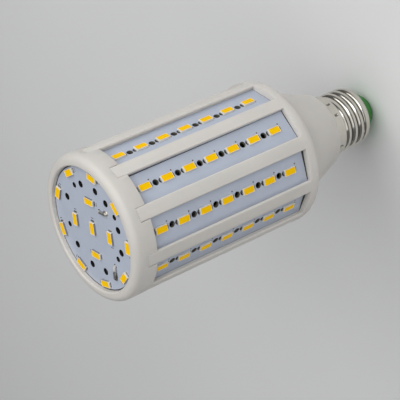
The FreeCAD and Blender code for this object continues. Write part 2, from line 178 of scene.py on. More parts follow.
def shade(colour, factor):
    """A linear colour made lighter or darker."""
    return tuple(min(1.0, c * factor) for c in colour[:3]) + (1.0,)


class Recipe:
    """Builds one node material round its Principled shader."""

    def __init__(self, name):
        """An empty material of a name, read in the piece's own coordinates."""
        self.material = bpy.data.materials.new(name)
        self.material.use_nodes = True
        self.tree = self.material.node_tree
        self.shader = self.tree.nodes["Principled BSDF"]
        self.place = self.tree.nodes.new("ShaderNodeTexCoord").outputs["Object"]

    def feed(self, socket, value):
        """Links a socket to another node's output, or gives it a plain value."""
        if isinstance(value, bpy.types.NodeSocket):
            self.tree.links.new(value, socket)
        else:
            socket.default_value = value

    def node(self, kind, **inputs):
        """A node of a kind with its inputs by name."""
        made = self.tree.nodes.new(kind)
        for key, value in inputs.items():
            self.feed(made.inputs[key.replace("_", " ")], value)
        return made

    def set(self, **inputs):
        """Inputs of the Principled shader by name."""
        for key, value in inputs.items():
            self.feed(self.shader.inputs[key.replace("_", " ")], value)

    def stretched(self, x, y, z):
        """Object coordinates scaled on each axis."""
        mapping = self.node("ShaderNodeMapping", Vector=self.place)
        mapping.inputs["Scale"].default_value = (x, y, z)
        return mapping.outputs["Vector"]

    def calc(self, operation, first, second):
        """One step of arithmetic on two values."""
        made = self.tree.nodes.new("ShaderNodeMath")
        made.operation = operation
        for socket, value in zip(made.inputs, (first, second)):
            self.feed(socket, value)
        return made.outputs["Value"]

    def noise(self, scale, detail=3.0, where=None):
        """Cloudy noise, from 0 to 1."""
        made = self.node("ShaderNodeTexNoise", Vector=where or self.place, Scale=scale, Detail=detail,
                         Roughness=0.55)
        return made.outputs["Fac"]

    def cells(self, scale):
        """The distance from the nearest of many scattered points."""
        return self.node("ShaderNodeTexVoronoi", Vector=self.place, Scale=scale).outputs["Distance"]

    def span(self, value, low, high, start=0.3, end=0.7):
        """A value from start to end, spread over low to high."""
        made = self.node("ShaderNodeMapRange", Value=value)
        made.inputs["From Min"].default_value = start
        made.inputs["From Max"].default_value = end
        made.inputs["To Min"].default_value = low
        made.inputs["To Max"].default_value = high
        return made.outputs["Result"]

    def ramp(self, value, *stops):
        """A colour ramp through (position, colour) stops."""
        made = self.node("ShaderNodeValToRGB", Fac=value)
        elements = made.color_ramp.elements
        while len(elements) < len(stops):
            elements.new(0.5)
        for element, (position, colour) in zip(elements, stops):
            element.position = position
            element.color = colour
        return made.outputs["Color"]

    def mix(self, factor, first, second):
        """A blend of two colours; inputs 0, 6 and 7 and output 2 are the node's colour sockets."""
        made = self.tree.nodes.new("ShaderNodeMix")
        made.data_type = "RGBA"
        for index, value in ((0, factor), (6, first), (7, second)):
            self.feed(made.inputs[index], value)
        return made.outputs[2]

    def bump(self, value, depth, strength=1.0, under=None):
        """A bump of a depth in millimetres, on top of another."""
        made = self.node("ShaderNodeBump", Height=value, Strength=strength, Distance=depth * mm)
        if under is not None:
            self.tree.links.new(under, made.inputs["Normal"])
        return made.outputs["Normal"]


def moulded_plastic(name, colour, roughness=0.42, grain=1800.0, depth=0.012):
    """Satin moulded plastic: fine spark-eroded grain, slow colour drift and faint flow marks."""
    r = Recipe(name)
    drift = r.noise(38.0, 4.0)
    flow = r.noise(60.0, 3.0, r.stretched(1.0, 1.0, 0.16))
    tone = r.ramp(drift, (0.32, shade(colour, 0.955)), (0.52, colour), (0.72, shade(colour, 1.03)))
    specks = r.span(r.cells(900.0), 1.0, 0.0, 0.0, 0.12)
    tone = r.mix(r.span(specks, 0.0, 0.18, 0.0, 1.0), tone, shade(colour, 0.80))
    fine = r.noise(grain, 2.0)
    surface = r.bump(flow, 0.03, 0.35)
    surface = r.bump(fine, depth, 0.55, surface)
    r.set(Base_Color=tone, Roughness=r.span(r.noise(420.0, 3.0), roughness - 0.05, roughness + 0.07),
          Normal=surface, IOR=1.49, Specular_IOR_Level=0.45)
    r.set(Subsurface_Weight=0.06, Subsurface_Scale=0.6 * mm)
    return r.material


def solder_mask(name, colour):
    """White solder mask: a levelled coat over copper that shows as faint lighter lands."""
    r = Recipe(name)
    drift = r.noise(90.0, 3.0)
    lands = r.span(r.noise(240.0, 1.0, r.stretched(1.0, 1.0, 0.35)), 0.0, 1.0, 0.49, 0.51)
    tone = r.ramp(drift, (0.3, shade(colour, 0.965)), (0.7, shade(colour, 1.025)))
    tone = r.mix(r.span(lands, 0.0, 0.10, 0.0, 1.0), tone, shade(colour, 1.12))
    dust = r.span(r.cells(1300.0), 0.22, 0.0, 0.0, 0.10)
    tone = r.mix(dust, tone, shade(colour, 0.72))
    surface = r.bump(lands, 0.012, 0.30)
    surface = r.bump(r.noise(2600.0, 2.0), 0.006, 0.5, surface)
    r.set(Base_Color=tone, Roughness=r.span(r.noise(700.0, 2.0), 0.30, 0.42), Normal=surface, IOR=1.5)
    r.set(Coat_Weight=0.15, Coat_Roughness=0.25)
    return r.material


def height_band(r, height, start, full, fade, end):
    """One from full to fade and zero outside start to end, by height in millimetres."""
    rise = r.span(height, 0.0, 1.0, start * mm, full * mm)
    return r.calc("MULTIPLY", rise, r.span(height, 1.0, 0.0, fade * mm, end * mm))


def thread_painted_shade(r):
    """Painted shade on the cap: darker in the thread's roots, in the grooves at both of its ends, and in
    the crimp dimples.
    """
    split = r.node("ShaderNodeSeparateXYZ", Vector=r.place).outputs
    height = split["Z"]
    direction = r.calc("ARCTAN2", split["Y"], split["X"])
    around = r.calc("SUBTRACT", direction, math.radians(thread_start))
    around = r.calc("DIVIDE", around, 2 * math.pi)
    turns = r.calc("SUBTRACT", height, first_crest_z * mm)
    turns = r.calc("DIVIDE", turns, thread_pitch * mm)
    from_crest = r.calc("PINGPONG", r.calc("SUBTRACT", turns, around), 0.5)
    root = r.span(from_crest, 0.0, 1.0, 0.37, 0.47)
    threaded = height_band(r, height, thread_z + 0.2, thread_z + 0.5, skirt_z - 0.9, skirt_z - 0.5)
    painted_shade = r.calc("MULTIPLY", root, threaded)
    step = height_band(r, height, skirt_z - 0.35, skirt_z + 0.05, skirt_z + 0.35, skirt_z + 0.65)
    painted_shade = r.calc("MAXIMUM", painted_shade, step)
    groove = height_band(r, height, thread_z - 0.45, thread_z - 0.25, thread_z - 0.05, thread_z + 0.15)
    painted_shade = r.calc("MAXIMUM", painted_shade, groove)
    aside = r.calc("SUBTRACT", direction, math.radians(crimp_start))
    aside = r.calc("PINGPONG", aside, math.pi / crimp_pairs)
    aside = r.calc("SUBTRACT", aside, math.radians(crimp_apart / 2))
    aside = r.calc("POWER", r.calc("MULTIPLY", aside, skirt_radius / crimp_half_width), 2.0)
    tall = r.calc("SUBTRACT", height, (crimp_z + 0.2) * mm)
    tall = r.calc("POWER", r.calc("DIVIDE", tall, crimp_half_height * mm), 2.0)
    dimple = r.span(r.calc("ADD", aside, tall), 0.75, 0.0, 0.25, 0.85)
    return r.calc("MAXIMUM", painted_shade, dimple)


def plated_metal(name, colour, roughness, rings=9000.0, tarnish=0.10, threaded=False):
    """Rolled plating: fine lines round the axis, slow tarnish, and on the cap painted shade in its thread
    and crimps.
    """
    r = Recipe(name)
    lines = r.noise(1.0, 4.0, r.stretched(60.0, 60.0, rings))
    cloud = r.noise(110.0, 4.0)
    tone = r.ramp(cloud, (0.30, shade(colour, 1.0 - tarnish)), (0.65, colour))
    rough = r.span(r.noise(260.0, 4.0), roughness - 0.03, roughness + 0.05)
    if threaded:
        painted_shade = thread_painted_shade(r)
        # Painted shade: the thread's roots, end grooves and crimp dimples are darkened almost to black
        tone = r.mix(r.calc("MULTIPLY", painted_shade, 0.93), tone, shade(colour, 0.06))
        rough = r.calc("ADD", rough, r.calc("MULTIPLY", painted_shade, 0.15))
    surface = r.bump(lines, 0.004, 0.30)
    surface = r.bump(r.noise(300.0, 3.0), 0.02, 0.10, surface)
    r.set(Base_Color=tone, Metallic=1.0, Normal=surface, Roughness=rough)
    return r.material


def phosphor(name):
    """Yellow silicone with grains of phosphor under a clear wet-looking skin, and a faint painted glow."""
    r = Recipe(name)
    bright = srgb(255, 208, 0)
    deep = srgb(250, 180, 0)
    grains = r.noise(5200.0, 3.0)
    clouds = r.noise(900.0, 2.0)
    tone = r.ramp(grains, (0.30, deep), (0.62, bright))
    tone = r.mix(r.span(clouds, 0.0, 0.25), tone, srgb(255, 214, 12))
    r.set(Base_Color=tone, Roughness=r.span(grains, 0.42, 0.60), IOR=1.41,
          Normal=r.bump(clouds, 0.02, 0.35))
    # The faint emission is a painted glow: the packages are not lit
    r.set(Specular_IOR_Level=0.08, Emission_Color=srgb(255, 196, 0), Emission_Strength=0.09)
    return r.material


def package_plastic(name, colour):
    """The filled plastic of an LED package: hard, even and slightly chalky."""
    r = Recipe(name)
    tone = r.ramp(r.noise(1500.0, 3.0), (0.35, shade(colour, 0.95)), (0.65, shade(colour, 1.02)))
    surface = r.bump(r.noise(4200.0, 2.0), 0.006, 0.5)
    r.set(Base_Color=tone, Roughness=r.span(r.noise(2000.0, 2.0), 0.40, 0.52), Normal=surface, IOR=1.52)
    return r.material


def solder(name, colour=(0.66, 0.66, 0.65, 1.0), roughness=0.24):
    """Reflowed solder: bright, with a grey frosted skin in places."""
    r = Recipe(name)
    frost = r.noise(1400.0, 4.0)
    tone = r.ramp(frost, (0.38, shade(colour, 0.62)), (0.62, colour))
    surface = r.bump(r.noise(2200.0, 3.0), 0.03, 0.5)
    r.set(Base_Color=tone, Metallic=1.0, Roughness=r.span(frost, roughness + 0.16, roughness - 0.05),
          Normal=surface)
    return r.material


def painted(name, colour, roughness=0.4, scale=900.0, depth=0.02):
    """Paint, dip or sleeve on a small part: slight orange peel and drift."""
    r = Recipe(name)
    tone = r.ramp(r.noise(scale * 0.4, 3.0), (0.3, shade(colour, 0.82)), (0.7, shade(colour, 1.1)))
    surface = r.bump(r.noise(scale, 3.0), depth, 0.4)
    r.set(Base_Color=tone, Roughness=r.span(r.noise(scale * 0.7, 2.0), roughness - 0.06, roughness + 0.08),
          Normal=surface)
    return r.material


def laminate(name):
    """The driver's bare laminate, with the weave of its cloth showing through."""
    r = Recipe(name)
    colour = srgb(150, 128, 70)
    across = r.span(r.noise(1.0, 1.0, r.stretched(2600.0, 200.0, 120.0)), 0.0, 1.0, 0.4, 0.6)
    along = r.span(r.noise(1.0, 1.0, r.stretched(120.0, 200.0, 2600.0)), 0.0, 1.0, 0.4, 0.6)
    tone = r.mix(across, shade(colour, 0.8), shade(colour, 1.05))
    tone = r.mix(r.span(along, 0.0, 0.4, 0.0, 1.0), tone, shade(colour, 1.15))
    r.set(Base_Color=tone, Roughness=r.span(across, 0.45, 0.6), Normal=r.bump(along, 0.02, 0.4))
    return r.material


housing_white = srgb(219, 215, 209)
board_white = srgb(190, 198, 214)

looks = {
    "housing": moulded_plastic("housing_plastic", housing_white),
    "strip_mask": solder_mask("board_solder_mask", board_white),
    "led_body": package_plastic("package_white", srgb(238, 234, 224)),
    # Grey for the long walls of the end board's packages: painted shade on plastic that is really white
    "package_painted_shade": package_plastic("package_painted_shade", srgb(138, 138, 145)),
    "phosphor": phosphor("phosphor_silicone"),
    "cap_metal": plated_metal("nickel_plating", (0.72, 0.69, 0.62, 1.0), 0.15, threaded=True),
    "contact": plated_metal("contact_brass", (0.66, 0.56, 0.36, 1.0), 0.24, 3000.0, 0.25),
    "insulator": moulded_plastic("green_insulator", srgb(30, 128, 20), 0.48, 900.0, 0.01),
    "driver_laminate": laminate("driver_laminate"),
    "film_skin": painted("film_dip", srgb(176, 60, 38), 0.22, 500.0, 0.05),
    "black_case": painted("black_moulding", srgb(36, 36, 38), 0.5, 2600.0, 0.02),
    "can_sleeve": painted("can_sleeve", srgb(30, 32, 40), 0.28, 300.0, 0.03),
    "resistor_paint": painted("resistor_paint", srgb(150, 172, 178), 0.42, 700.0, 0.03),
    "wire_skin": painted("wire_skin", srgb(206, 204, 198), 0.38, 1200.0, 0.02),
    "tinned_copper": solder("tinned_copper", (0.70, 0.69, 0.66, 1.0), 0.26),
    "solder": solder("solder", (0.86, 0.85, 0.83, 1.0), 0.42),
    # Darkened copies of solder: painted dark reflection on the package tabs and painted shadow on the
    # negative joint
    "solder_painted_dark": solder("solder_painted_dark", (0.40, 0.39, 0.37, 1.0), 0.42),
    "shiny_solder": solder("shiny_solder", (0.60, 0.57, 0.52, 1.0), 0.30),
    "solder_painted_shadow": solder("solder_painted_shadow", (0.20, 0.19, 0.17, 1.0), 0.40),
    "painted_shadow_mark": painted("painted_shadow_mark", srgb(34, 31, 27), 0.45, 2500.0, 0.02),
    "polarity_ink": painted("polarity_ink", srgb(98, 70, 54), 0.5, 2500.0, 0.01),
    # Dark grey of the painted shadow strips at the boards' edges and the round board's rim
    "painted_edge_shadow": painted("painted_edge_shadow", srgb(62, 61, 56), 0.7, 2500.0, 0.03),
    "vent_laminate_and_shade": painted("vent_laminate_and_shade", srgb(88, 85, 74), 0.7, 2500.0, 0.03),
    "hole_painted_shade": painted("hole_painted_shade", srgb(24, 23, 21), 0.75, 2500.0, 0.03),
}

for row in frame["record"]["subparts"]:
    target = nodes[row["node"]].data
    if not target.materials:
        target.materials.append(None)
    for i in range(len(target.materials)):
        target.materials[i] = looks[row["material_slot"]]


# Mesh helpers

class Shell:
    """Collects points, faces and their materials, in millimetres, and makes one piece of them."""

    def __init__(self):
        """An empty shell."""
        self.points = []
        self.faces = []
        self.kinds = []

    def loops(self, rings, kind, close=True, cap_last=False, where=None):
        """Skins a list of point loops; kind is the place of its material in the piece."""
        base = len(self.points)
        count = len(rings[0])
        for ring in rings:
            for point in ring:
                p = Vector(point)
                self.points.append(where @ p if where is not None else p)
        steps = count if close else count - 1
        for i in range(len(rings) - 1):
            for j in range(steps):
                a = base + i * count + j
                b = base + i * count + (j + 1) % count
                self.faces.append((a, b, b + count, a + count))
                self.kinds.append(kind)
        if cap_last:
            start = base + (len(rings) - 1) * count
            self.faces.append(tuple(range(start, start + count)))
            self.kinds.append(kind)

    def piece(self, name, materials, slot, stands_for=(), smooth_angle=38.0):
        """The piece in the scene, in place of the CAD nodes that it stands for."""
        data = bpy.data.meshes.new(name)
        data.from_pydata([tuple(p * mm) for p in self.points], [], self.faces)
        for look in materials:
            data.materials.append(look)
        data.polygons.foreach_set("material_index", self.kinds)
        data.polygons.foreach_set("use_smooth", [True] * len(data.polygons))
        data.update()
        data.set_sharp_from_angle(angle=math.radians(smooth_angle))
        made = bpy.data.objects.new(name, data)
        bpy.context.scene.collection.objects.link(made)
        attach(made, "root")
        if stands_for:
            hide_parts(*stands_for)


def strip_facing(number):
    """Which way a strip board faces, and the direction across it."""
    angle = math.radians(first_strip_angle + strip_step * (number - 1))
    out = Vector((math.cos(angle), math.sin(angle), 0.0))
    return out, Vector((0, 0, 1)).cross(out)


def rounded_rectangle(half_x, half_y, radius, z, steps=4):
    """Points of a rectangle with rounded corners, anticlockwise."""
    points = []
    for sx, sy, start in ((1, 1, 0), (-1, 1, 90), (-1, -1, 180), (1, -1, 270)):
        for i in range(steps + 1):
            a = math.radians(start + 90.0 * i / steps)
            points.append((sx * (half_x - radius) + radius * math.cos(a),
                           sy * (half_y - radius) + radius * math.sin(a), z))
    return points


def solids_of(node):
    """The separate solids of a CAD node as arrays of points in millimetres."""
    work = bmesh.new()
    work.from_mesh(nodes[node].data)
    bmesh.ops.remove_doubles(work, verts=work.verts, dist=1e-6)
    work.verts.ensure_lookup_table()
    seen = set()
    groups = []
    for vert in work.verts:
        if vert.index in seen:
            continue
        stack = [vert]
        seen.add(vert.index)
        group = []
        while stack:
            current = stack.pop()
            group.append(tuple(current.co / mm))
            for edge in current.link_edges:
                other = edge.other_vert(current)
                if other.index not in seen:
                    seen.add(other.index)
                    stack.append(other)
        groups.append(np.array(group))
    work.free()
    return groups


def fill_frames(node, on_disc):
    """For each filling, a matrix from package coordinates (x along, y across, z out of the board)."""
    frames = []
    for points in solids_of(node):
        middle = points.mean(0)
        along = Vector(np.linalg.eigh(np.cov((points - middle).T))[1][:, 2])
        onward = Vector((-middle[1], middle[0], 0)) if on_disc else Vector((0, 0, 1))
        if along.dot(onward) < 0:
            along.negate()
        if on_disc:
            out = Vector((0, 0, 1))
            across = out.cross(along)
            foot = Vector((middle[0], middle[1], disc_face))
        else:
            degrees = math.degrees(math.atan2(middle[1], middle[0]))
            out = strip_facing(round((degrees - first_strip_angle) / strip_step) + 1)[0]
            across = out.cross(along)
            foot = out * strip_apothem + Vector((0, 0, middle[2])) + across * Vector(middle).dot(across)
        turned = Matrix((along, across, out)).transposed().to_4x4()
        frames.append(Matrix.Translation(foot) @ turned)
    return frames


# LED packages

# Profile of the package's walls (inset, corner radius, share of the height) and of its sunk filling
# (share of the window's length and width, inset, corner radius, depth below the top)
wall_profile = ((0.04, 0.14, 0.0), (0.0, 0.16, 1 / 9), (0.0, 0.16, 0.50), (0.03, 0.16, 0.52))
wall_top_profile = ((0.04, 0.16, 0.07), (0.09, 0.16, 0.0))
window_profile = ((-0.02, 0.34, 0.0), (0.04, 0.32, 0.10))
filling_profile = ((1.0, 1.0, 0.01, 0.33, 0.035), (1.0, 1.0, 0.14, 0.28, 0.055),
                   (0.72, 0.68, 0.0, 0.20, 0.075), (0.30, 0.28, 0.0, 0.08, 0.08))
points_round = 20
long_walls = (4, 14)

# Profile of an end tab under its solder: place from the package's end, height and half width
tab_bend = 0.15
tab_profile = ((-0.10, 0.34, 0.95), (0.04, 0.36, 1.00), (0.10, 0.30, 1.04), (0.22, 0.17, 1.12),
               (0.62, 0.09, 1.16), (0.86, 0.05, 1.10), (1.0, 0.0, 0.98))
near_tab_reach = 0.38
far_tab_reach = 0.45


def add_package(body, filling, joints, where, shaded_side_kind, end_kind):
    """One LED package: walled body, sunk filling, end tabs and their solder."""
    first_face = len(body.faces)
    half_x = window_half + window_margin
    half_y = led_width / 2
    half_window = window_width / 2
    top = led_height
    rings = [rounded_rectangle(half_x - inset, half_y - inset, corner, top * share)
             for inset, corner, share in wall_profile]
    rings += [rounded_rectangle(half_x - inset, half_y - inset, corner, top - below)
              for inset, corner, below in wall_top_profile]
    rings += [rounded_rectangle(window_half - inset, half_window - inset, corner, top - below)
              for inset, corner, below in window_profile]
    body.loops(rings, 0, where=where)
    # On the end board the long walls take the grey of painted shade
    for band in range(len(wall_profile)):
        for wall in long_walls:
            body.kinds[first_face + points_round * band + wall] = shaded_side_kind
    rings = [rounded_rectangle(window_half * long - inset, half_window * wide - inset, corner, top - below)
             for long, wide, inset, corner, below in filling_profile]
    filling.loops(rings, 0, cap_last=True, where=where)
    # Far tabs, and on the end board the near tabs too, take the darkened solder: painted dark reflection
    add_tab(joints, half_x, where, far_tab_reach, 1)
    add_tab(joints, half_x, where @ Matrix.Rotation(math.pi, 4, "Z"), near_tab_reach, end_kind)


def add_tab(joints, half_x, where, reach, kind):
    """A metal end tab with the solder that climbs it, which thins towards both sides."""
    rows = []
    for x, z, half in tab_profile:
        place = half_x + (x if x < tab_bend else tab_bend + (x - tab_bend) * reach)
        rows.append([(place, half * (k / 4.0 - 1.0), z * (1.0 - 0.35 * abs(k / 4.0 - 1.0) ** 3))
                     for k in reversed(range(9))])
    joints.loops(rows, kind, close=False, where=where)


def add_blot(shell, where, outline, height, kind=0):
    """A thin mark on a board, of print or of painted shadow: a low rounded pad over an outline."""
    cx = sum(p[0] for p in outline) / len(outline)
    cy = sum(p[1] for p in outline) / len(outline)
    low = [(x, y, 0.0) for x, y in outline]
    high = [(cx + (x - cx) * 0.86, cy + (y - cy) * 0.86, height) for x, y in outline]
    shell.loops([low, high], kind, cap_last=True, where=where)


def oval(cx, cy, rx, ry, count=14):
    """Points of an oval round a middle, anticlockwise."""
    return [(cx + rx * math.cos(2 * math.pi * i / count), cy + ry * math.sin(2 * math.pi * i / count))
            for i in range(count)]


def crescent(centre, radius, thick, spread, count=10):
    """A thin arc that bows towards +x about a centre on the x axis."""
    outer = []
    inner = []
    for i in range(count + 1):
        a = math.radians(-spread + 2 * spread * i / count)
        width = thick * math.cos(math.radians(80.0 * (2.0 * i / count - 1.0)))
        outer.append((centre + (radius + width / 2) * math.cos(a), (radius + width / 2) * math.sin(a)))
        inner.append((centre + (radius - width / 2) * math.cos(a), (radius - width / 2) * math.sin(a)))
    return outer + list(reversed(inner))


first_filling = solids_of("strip_phosphor_01")[0]
window_half = (first_filling[:, 2].max() - first_filling[:, 2].min()) / 2

body_looks = [looks["led_body"], looks["package_painted_shade"]]
# Dark marks at the packages' ends: painted shadow and painted dark reflection at the solder
mark_looks = [looks["painted_shadow_mark"], looks["polarity_ink"], looks["solder"]]
shadow_bar = oval(-3.48, 0.0, 0.19, 1.18)
shadow_dots = [oval(-4.50, side, 0.24, 0.32) for side in (-0.42, 0.42)]
shadow_arc = crescent(2.30, 1.28, 0.62, 50)
solder_sliver = oval(-3.84, 0.0, 0.09, 0.95)
polarity_dot = oval(-3.3, -2.2, 0.34, 0.34)


def dress_leds(number, leds, fills, on_disc):
    """Replaces one board's packages and fillings, and adds their solder, their painted shadow marks and, on
    the strips, polarity dots.
    """
    body, filling, joints, marks = Shell(), Shell(), Shell(), Shell()
    for where in fill_frames(fills, on_disc):
        add_package(body, filling, joints, where, int(on_disc), int(on_disc))
        add_blot(marks, where, shadow_bar, 0.03)
        if on_disc:
            for dot in shadow_dots:
                add_blot(marks, where, dot, 0.03)
        else:
            add_blot(marks, where, shadow_arc, 0.28)
            add_blot(marks, where, solder_sliver, 0.02, 2)
            add_blot(marks, where, polarity_dot, 0.015, 1)
    body.piece("package_bodies_" + number, body_looks, "led_body", [leds])
    filling.piece("package_fillings_" + number, [looks["phosphor"]], "phosphor", [fills])
    joints.piece("package_solder_" + number, [looks["solder"], looks["solder_painted_dark"]], "tinned_copper")
    marks.piece("board_marks_" + number, mark_looks, "tinned_copper")


for index in range(1, strip_count + 1):
    number = "%02d" % index
    dress_leds(number, "strip_leds_" + number, "strip_phosphor_" + number, False)
dress_leds("end", "end_leds", "end_phosphor", True)


# Drilled holes: a thin dark lining on their walls, on the strips partly the laminate's own colour and
# partly painted shade, on the end board painted shade, as (wider than the hole, height)
lining_profile = ((0.05, 0.004), (0.0, 0.006), (-0.03, -0.03))


def hole_rims(node, out, level):
    """The closed edge loops round a board's holes, on the face at a level along out."""
    work = bmesh.new()
    work.from_mesh(nodes[node].data)
    bmesh.ops.remove_doubles(work, verts=work.verts, dist=1e-6)
    near = {}
    for edge in work.edges:
        if len(edge.link_faces) != 2 or edge.calc_face_angle(0.0) < 1.0:
            continue
        ends = [vert.co / mm for vert in edge.verts]
        if all(abs(end.dot(out) - level) < 0.01 for end in ends):
            for vert in edge.verts:
                near.setdefault(vert, []).append(edge.other_vert(vert))
    rims = []
    seen = set()
    for start in near:
        if start in seen:
            continue
        loop = []
        stack = [start]
        seen.add(start)
        while stack:
            vert = stack.pop()
            loop.append(vert.co / mm)
            for other in near[vert]:
                if other not in seen:
                    seen.add(other)
                    stack.append(other)
        rims.append(np.array(loop))
    work.free()
    return rims


def line_holes(name, node, out, look, taper):
    """A thin dark lining of painted shade in every hole of a board; the bore narrows by taper to the back.
    """
    lining = Shell()
    level = max((vert.co / mm).dot(out) for vert in nodes[node].data.vertices)
    aside = out.orthogonal().normalized()
    turned = Matrix((aside, out.cross(aside), out)).transposed().to_4x4()
    for rim in hole_rims(node, out, level):
        middle = rim.mean(0)
        reach = np.linalg.norm(rim - middle, axis=1).mean()
        if reach > largest_hole_radius:
            continue
        where = Matrix.Translation(Vector(middle)) @ turned
        rings = []
        for wider, z in lining_profile + ((-taper, -board_thickness),):
            radius = reach + wider
            rings.append([(x, y, z) for x, y in reversed(oval(0.0, 0.0, radius, radius, 40))])
        lining.loops(rings, 0, where=where)
    lining.piece(name, [looks[look]], "driver_laminate")


for index in range(1, strip_count + 1):
    line_holes("drilled_edges_%02d" % index, "strip_board_%02d" % index, strip_facing(index)[0],
               "vent_laminate_and_shade", 0.16)
# The end board's holes get a near-black lining: painted shade
line_holes("drilled_edges_end", "end_board", Vector((0, 0, 1)), "hole_painted_shade", 0.03)

# Painted shadow at the round board's rim: a thin dark ring, as (inset, lift)
rim_shadow_profile = ((0.02, 0.0), (0.05, shadow_lift), (0.42, shadow_lift), (0.45, 0.0))
rim_shadow = Shell()
rings = []
for inset, lift in rim_shadow_profile:
    radius = disc_radius - inset
    rings.append([(x, y, disc_face + lift) for x, y in oval(0.0, 0.0, radius, radius, 180)])
rim_shadow.loops(rings, 0)
rim_shadow.piece("rim_shadow_end", [looks["painted_edge_shadow"]], "driver_laminate")


# Painted shadow: thin dark strips where a board enters its seat and its slots, on some boards wider to one
# end

def foot_shadow(number, first_width, last_width):
    """A thin dark strip of painted shadow across a board at the window's lower edge, from one width to
    another.
    """
    shadow_strip = Shell()
    out, across = strip_facing(number)
    low = []
    high = []
    for i in range(13):
        share = i / 12.0
        waver = shadow_waver * math.sin(9.0 * share + number)
        width = first_width + (last_width - first_width) * share + waver
        place = out * (strip_apothem + shadow_lift) + across * clear_half * (2.0 * share - 1.0)
        low.append(place + Vector((0, 0, window_z - shadow_root)))
        high.append(place + Vector((0, 0, window_z + width)))
    edge = [point - out * shadow_drop + Vector((0, 0, shadow_drop)) for point in high]
    shadow_strip.loops([low, high, edge], 0, close=False)
    shadow_strip.piece("foot_seam_%02d" % number, [looks["painted_edge_shadow"]], "driver_laminate")


def side_shadow(number, low_width, high_width):
    """A thin dark strip of painted shadow along a board, where it enters the slot of a rib, wider to one
    end.
    """
    shadow_strip = Shell()
    out, across = strip_facing(number)
    ends = ((window_z, low_width), (window_top, high_width))
    corner = out * (strip_apothem + shadow_lift) + across * clear_half
    hidden = [corner + Vector((0, 0, z)) for z, width in ends]
    inner = [place - across * width for place, (z, width) in zip(hidden, ends)]
    edge = [place - out * shadow_drop - across * shadow_drop for place in inner]
    shadow_strip.loops([hidden, inner, edge], 0, close=False)
    shadow_strip.piece("side_seam_%02d" % number, [looks["painted_edge_shadow"]], "driver_laminate")


foot_widths = {1: (0.35, 0.95), 2: (0.12, 0.42), 3: (0.0, 0.05), 7: (0.55, 0.25), 10: (0.35, 1.4)}
usual_foot_widths = (0.30, 0.22)
for index in range(1, strip_count + 1):
    foot_shadow(index, *foot_widths.get(index, usual_foot_widths))
side_shadow(2, 0.04, 0.47)
side_shadow(7, 0.40, 0.12)


# Soldered ends of the two leads on the end board
searched_depth = 4.0
lead_tip = 0.3
bared_growth = 0.05
bared_twist = 0.8
dome_from_end = 0.55


def lead_ends(node):
    """Where a lead leaves its hole and where it ends, on the face of the end board."""
    points = np.array([tuple(vert.co / mm) for vert in nodes[node].data.vertices])
    in_hole = points[(points[:, 2] < disc_face) & (points[:, 2] > disc_face - searched_depth)]
    above = points[points[:, 2] > disc_face]
    hole = in_hole.mean(0)
    far = above - hole
    distance = np.hypot(far[:, 0], far[:, 1])
    way = far[distance > distance.max() - lead_tip].mean(0)
    way = Vector((way[0], way[1], 0.0)).normalized()
    return Vector((hole[0], hole[1], disc_face)), way, float(distance.max())


dome_profile = ((1.12, 0.0), (0.98, 0.12), (0.90, 0.34), (0.76, 0.66), (0.52, 0.90), (0.22, 1.0))


def solder_dome(shell, where, long, wide, height, kind):
    """A joint's dome, with a drawn-in foot and an uneven edge."""
    rings = []
    for share, level in dome_profile:
        ring = []
        for i in range(28):
            a = 2 * math.pi * i / 28
            reach = share * (1.0 + 0.07 * math.sin(3 * a + 0.6) + 0.04 * math.sin(5 * a + 2.0))
            ring.append((reach * long * math.cos(a), reach * wide * math.sin(a), level * height))
        rings.append(ring)
    shell.loops(rings, kind, cap_last=True, where=where)


def strands(shell, route, radius, turns):
    """A bare twisted end: five strands drawn together, along a route."""
    count = 30
    rings = []
    for i, (point, way) in enumerate(route):
        side = way.cross(Vector((0, 0, 1)))
        side = side.normalized() if side.length > 0.2 else way.orthogonal().normalized()
        over = side.cross(way).normalized()
        twist = 2 * math.pi * turns * i / (len(route) - 1)
        ring = []
        for k in range(count):
            a = 2 * math.pi * k / count
            reach = radius * (0.93 + 0.07 * abs(math.cos(2.5 * (a + twist))))
            ring.append(point + side * reach * math.cos(a) + over * reach * math.sin(a))
        rings.append(ring)
    shell.loops(rings, 0, cap_last=True)


def dress_lead(name, node, bare_from, dome, dome_kind):
    """The bare end and the joint of one lead."""
    hole, way, length = lead_ends(node)
    joint = Shell()
    level = max((vert.co / mm).z for vert in nodes[node].data.vertices) - disc_face - lead_radius
    steps = 12
    route = []
    for i in range(steps + 1):
        along = bare_from + (length - bare_from) * i / steps
        route.append((hole + way * along + Vector((0, 0, level)), way))
    strands(joint, route, lead_radius + bared_growth, bared_twist)
    turned = Matrix.Rotation(math.atan2(way.y, way.x), 4, "Z")
    solder_dome(joint, Matrix.Translation(hole + way * (length - dome_from_end)) @ turned, *dome, dome_kind)
    joint.piece(name, joint_looks, "tinned_copper")


joint_looks = [looks["tinned_copper"], looks["shiny_solder"], looks["solder_painted_shadow"]]
dress_lead("positive_joint", "positive_lead", 0.9, (1.45, 1.15, 1.25), 1)
# The negative joint's dome is darkened solder: painted shadow
dress_lead("negative_joint", "negative_lead", 2.0, (1.9, 0.95, 1.15), 2)


# Screw shell: rolled thread, plain skirt and crimps

def smooth(low, high, x):
    """Zero below low, one above high and an even curve between them."""
    t = min(1.0, max(0.0, (x - low) / (high - low)))
    return t * t * (3 - 2 * t)


def thread_radius(degrees, z):
    """Radius of the rolled thread at an angle and height: round crests and tighter roots."""
    turns = (z - first_crest_z) / thread_pitch - (degrees - thread_start) / 360.0
    wave = abs(math.cos(math.pi * turns)) ** crest_narrowing
    centre = z - (turns - round(turns)) * thread_pitch
    along = (centre - first_crest_z) / thread_pitch
    fade = smooth(thread_turns - run_out_end, thread_turns - run_out_start, along)
    return root_radius + (crest_radius - root_radius) * wave * fade


